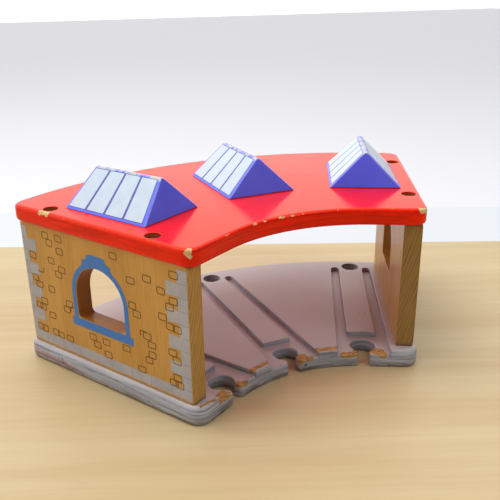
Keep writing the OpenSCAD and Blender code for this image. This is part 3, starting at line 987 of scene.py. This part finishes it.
def smooth_bar(name, place, radius=0.85):
    """The bar, its edges rounded, with the attribute edge for their wear and for the painted
    sheen along them.
    """
    half, flat = LIGHT_W / 2, RIDGE_FLAT / 2
    corners = [(x, y, 0.0) for x in (-half, half) for y in (0.0, LIGHT_LEN)]
    corners += [(x, y, LIGHT_H) for x in (-flat, flat)
                for y in (LIGHT_LEAN, LIGHT_LEN - LIGHT_LEAN)]
    work = bmesh.new()
    for corner in corners:
        work.verts.new(corner)
    bmesh.ops.convex_hull(work, input=work.verts)
    bmesh.ops.dissolve_limit(work, angle_limit=0.01, verts=work.verts, edges=work.edges)
    sharp = np.array([[*e.verts[0].co, *e.verts[1].co] for e in work.edges])
    bmesh.ops.bevel(work, geom=list(work.edges), offset=radius, segments=4, profile=0.5,
                    affect="EDGES", clamp_overlap=True)
    bmesh.ops.triangulate(work, faces=[f for f in work.faces if len(f.verts) > 4])
    away = distance_to(np.array([vert.co for vert in work.verts]), sharp)
    for vert in work.verts:
        vert.co = place(*vert.co)
    mesh = to_mesh(work, name)
    mark_edges(mesh, np.clip(1.6 * (1 - away / radius), 0, 1))
    return finish_mesh(name, mesh, 35)


def print_panes(label, on_slope):
    """Four panes between bars, over one dark slab that shows round them as a line."""
    lines, bars, panes = Print(on_slope), Print(on_slope), Print(on_slope)
    line, bar = PANE_LINE / LIGHT_LEN, PANE_BAR / LIGHT_LEN
    lines.slab(box(PANES_FRONT, PANES_LOW, PANES_REAR, PANES_HIGH))
    width = (PANES_REAR - PANES_FRONT - 3 * bar) / 4
    for pane in range(4):
        start = PANES_FRONT + pane * (width + bar)
        panes.slab(box(start + line, PANES_LOW + PANE_LINE, start + width - line,
                       PANES_HIGH - PANE_LINE), high=INK_HIGH + 0.03)
        if pane:
            bars.slab(box(start - bar + line / 2, PANES_LOW + 0.1, start - line / 2,
                          PANES_HIGH - 0.1), high=INK_HIGH + 0.03)
    lines.finish(f"{label}_pane_lines", line_ink)
    bars.finish(f"{label}_pane_bars", bar_ink)
    panes.finish(f"{label}_panes", pane_ink)


for side in SIDES:
    name = SIDES[side]

    def on_roof(x, y, z, side=side):
        return stall_world(side, x + LIGHT_OFFSET[side], LIGHT_FRONT + y, roof_high + z)

    light = smooth_bar(f"{name}_roof_light_bar", on_roof)
    holes = [(on_roof(0, along, -1), on_roof(0, along, DOWEL_LEN - DOWEL_IN_ROOF + 0.5),
              (DOWEL_R + 0.05) * MM) for along in DOWEL_ALONG]
    weighted(drill(light, holes))
    dress(light, light_look(side), [f"{name}_roof_light"])
    for slope, slope_name in ((-1, "left"), (1, "right")):
        def on_slope(y, up, height, slope=slope, on_roof=on_roof):
            """A point of a slope: y along the stall as a share of its length at that height."""
            share = up / SLOPE_LEN
            lean = LIGHT_LEAN * share
            x = LIGHT_W / 2 - SLOPE_RUN * share + height * LIGHT_H / SLOPE_LEN
            z = LIGHT_H * share + height * SLOPE_RUN / SLOPE_LEN
            return on_roof(slope * x, lean + y * (LIGHT_LEN - 2 * lean), z)

        print_panes(f"{name}_{slope_name}", on_slope)


# ---- Screws with a rolled thread and a cross recess, and fluted dowels
def turned(rings):
    """A bmesh of rings, each (height, radii), joined by faces; and its last ring."""
    work, rows = bmesh.new(), []
    for z, radii in rings:
        turns = [2 * math.pi * i / len(radii) for i in range(len(radii))]
        rows.append([work.verts.new((r * MM * math.cos(turn), r * MM * math.sin(turn), z * MM))
                     for r, turn in zip(radii, turns)])
    for upper, lower in zip(rows, rows[1:]):
        for i in range(len(upper)):
            work.faces.new((upper[i - 1], lower[i - 1], lower[i], upper[i]))
    work.faces.new(rows[0])
    return work, rows[-1]


def screw_mesh():
    """A pan-head wood screw with the top of its head at the origin, pointing down."""
    around, pitch, tip, core, row_h = 28, 1.8, 7.0, SCREW_R * 0.8, 0.3

    def thread(z, i):
        if z > -HEAD_H - 4:
            return core
        wave = (z / pitch + i / around) % 1.0
        crest = max(0.0, 1 - abs(wave - 0.5) / 0.28)
        return min(1.0, (z + SCREW_LEN) / tip) * SCREW_R * (0.68 + 0.32 * crest)

    rings = [(z, [radius] * around) for radius, z in (
        (2.6, 0.0), (3.3, -0.25), (3.8, -0.8), (HEAD_R, -1.5), (HEAD_R, -2.35),
        (3.8, -HEAD_H), (core, -HEAD_H))]
    z = -HEAD_H - row_h
    while z > -SCREW_LEN + row_h:
        rings.append((z, [thread(z, i) for i in range(around)]))
        z -= row_h
    work, last = turned(rings)
    point = work.verts.new((0, 0, -SCREW_LEN * MM))
    for i in range(around):
        work.faces.new((last[i - 1], point, last[i]))
    screw = finish_mesh("screw", to_mesh(work, "screw"), 30)
    recess = bmesh.new()
    for turn in (0, math.pi / 2):
        for vert in bmesh.ops.create_cube(recess, size=1.0)["verts"]:
            taper = 0.55 if vert.co.z < 0 else 1.0
            spot = Vector((vert.co.x * 3.6 * taper, vert.co.y * (0.8 + 0.2 * taper),
                           vert.co.z * 3.2 - 0.1))
            vert.co = Matrix.Rotation(turn, 3, "Z") @ spot * MM
    mesh = carve(screw, recess, crossing=True).data
    bpy.data.objects.remove(screw)
    return mesh


def dowel_mesh():
    """A fluted dowel standing on the origin, with chamfered ends."""
    flutes, depth = 24, 0.16
    rings = [(z, [DOWEL_R - shrink - (depth if i % 4 in (1, 2) else 0.0)
                  for i in range(4 * flutes)])
             for z, shrink in ((0, 0.6), (0.7, 0.08), (1.6, 0.0), (DOWEL_LEN - 1.6, 0.0),
                               (DOWEL_LEN - 0.7, 0.08), (DOWEL_LEN, 0.6))]
    work, last = turned(rings)
    work.faces.new(last)
    return to_mesh(work, "dowel")


def gather(name, mesh, places):
    """One object that holds a copy of mesh at each of the places."""
    work = bmesh.new()
    for place in places:
        before = len(work.verts)
        work.from_mesh(mesh)
        work.verts.ensure_lookup_table()
        bmesh.ops.transform(work, matrix=place, verts=work.verts[before:])
    return finish_mesh(name, to_mesh(work, name), 32)


screw_master, dowel_master = screw_mesh(), dowel_mesh()
steel, beech = screw_look(), dowel_look()
for side in (-1, 1):
    name = SIDES[side]
    for board, z, flip in (("roof", roof_high - BORE_D + HEAD_H, 0.0),
                           ("base", base_low + BORE_D - HEAD_H, math.pi)):
        places = []
        for number, along in enumerate(SCREW_ALONG):
            spot = stall_world(side, side * (WALL_IN + WALL_T / 2), WALL_FRONT + along, z)
            spin = Matrix.Rotation(0.5 + 0.9 * number + side, 4, "Z")
            places.append(Matrix.Translation(spot) @ Matrix.Rotation(flip, 4, "X") @ spin)
        screws = gather(f"{name}_{board}_screws_threaded", screw_master, places)
        dress(screws, steel, [f"{name}_{board}_screws"])
for side in SIDES:
    name = SIDES[side]
    places = [Matrix.Translation(stall_world(side, LIGHT_OFFSET[side], LIGHT_FRONT + along,
                                             roof_high - DOWEL_IN_ROOF))
              for along in DOWEL_ALONG]
    dowels = gather(f"{name}_light_dowels_fluted", dowel_master, places)
    dress(dowels, beech, [f"{name}_light_dowels"])


# ---- Stage: a pale table top with a pale ground round it, soft light and the camera
YAW, PITCH, ROLL = -0.4346, 0.3729, -0.0126
TABLE_FAR, TABLE_NEAR, TABLE_HALF_W, GROUND_HALF_W = 0.622, -2.0, 2.5, 6.0
STRIP_FAR = 0.745          # from under the camera to where the ground turns greyer
ahead = Vector((math.sin(-YAW), math.cos(-YAW), 0))
beside = Vector((ahead.y, -ahead.x, 0))
camera_at = world(-185.514, -238.049, 237.061)
under_camera = Vector((camera_at.x, camera_at.y, 0))


def sheet_of(name, corners, material):
    mesh = bpy.data.meshes.new(name)
    mesh.from_pydata(corners, [], [(0, 1, 2, 3)])
    mesh.materials.append(material)
    link(bpy.data.objects.new(name, mesh))


def table_look():
    look = paint("pale_table", 0.42)
    here = look.place(turn=-0.40)
    pale = look.blend(look.grain(here, (1.6, 26, 1), 4.0, 0.6, 0.3), 0.3, 0.7,
                      (0.575, 0.45, 0.255), (0.645, 0.535, 0.335))
    look.colour(look.blend(look.grain(here, (9, 260, 1), 3.0, 0.6), 0.45, 0.8, pale,
                           (0.51, 0.375, 0.20), 0.25))
    return look.material


def ground_look():
    """Pale grey, with a strip of another grey along the far edge of the table."""
    look = paint("pale_ground", 0.6)
    out = look.axis(look.place(tuple(under_camera + ahead * STRIP_FAR), YAW), "Y")
    look.colour(look.blend(out, -0.002, 0.004, (0.70, 0.74, 0.79), (0.77, 0.78, 0.83)))
    return look.material


sheet_of("table", [under_camera + beside * aside + ahead * out for aside, out in
                   box(-TABLE_HALF_W, TABLE_NEAR, TABLE_HALF_W, TABLE_FAR)], table_look())
sheet_of("ground", [(x, y, -0.004) for x, y in
                    box(-GROUND_HALF_W, -GROUND_HALF_W, GROUND_HALF_W, GROUND_HALF_W)],
         ground_look())

view = bpy.context.scene.view_settings
view.view_transform = "Standard"
view.exposure, view.gamma = 0.3, 0.86
# The studio is brighter behind the shed and to its left than in front of it.
studio = Look(bpy.data.worlds.new("studio"), "Background")
bpy.context.scene.world = studio.material
studio.shader.inputs["Color"].default_value = (1.0, 0.985, 0.965, 1)
towards = Vector((-0.30, 0.86, 0.42)).normalized()
bright = studio.add("VectorMath", {0: studio.add("TexCoord", out="Generated"), 1: towards},
                    out="Value", operation="DOT_PRODUCT")
studio.drive("Strength", studio.ramp(bright, -0.66, 0.85, 0.17, 1.05))


def lamp(name, at, size, power, colour):
    data = bpy.data.lights.new(name, "AREA")
    data.shape, data.size, data.energy, data.color = "DISK", size, power, colour
    thing = link(bpy.data.objects.new(name, data))
    thing.location = at
    aim = Vector((0, 0, 0.05)) - Vector(at)
    thing.rotation_euler = aim.to_track_quat("-Z", "Y").to_euler()


lamp("key", (-0.42, 0.28, 1.3), 0.9, 5.8, (1.0, 0.98, 0.95))
lamp("fill", (0.42, -0.68, 0.85), 0.5, 1.9, (0.95, 0.97, 1.0))

lens = bpy.data.cameras.new("camera")
lens.lens, lens.sensor_width, lens.clip_start = 47.9, 36.0, 0.01
camera = link(bpy.data.objects.new("camera", lens))
look_dir = ahead * math.cos(PITCH) - Vector((0, 0, math.sin(PITCH)))
up_dir = beside.cross(look_dir)
cam_x = math.cos(ROLL) * beside + math.sin(ROLL) * up_dir
cam_y = -math.sin(ROLL) * beside + math.cos(ROLL) * up_dir
turn = Matrix((cam_x, cam_y, -look_dir)).transposed()
camera.matrix_world = Matrix.Translation(camera_at) @ turn.to_4x4()
bpy.context.scene.camera = camera
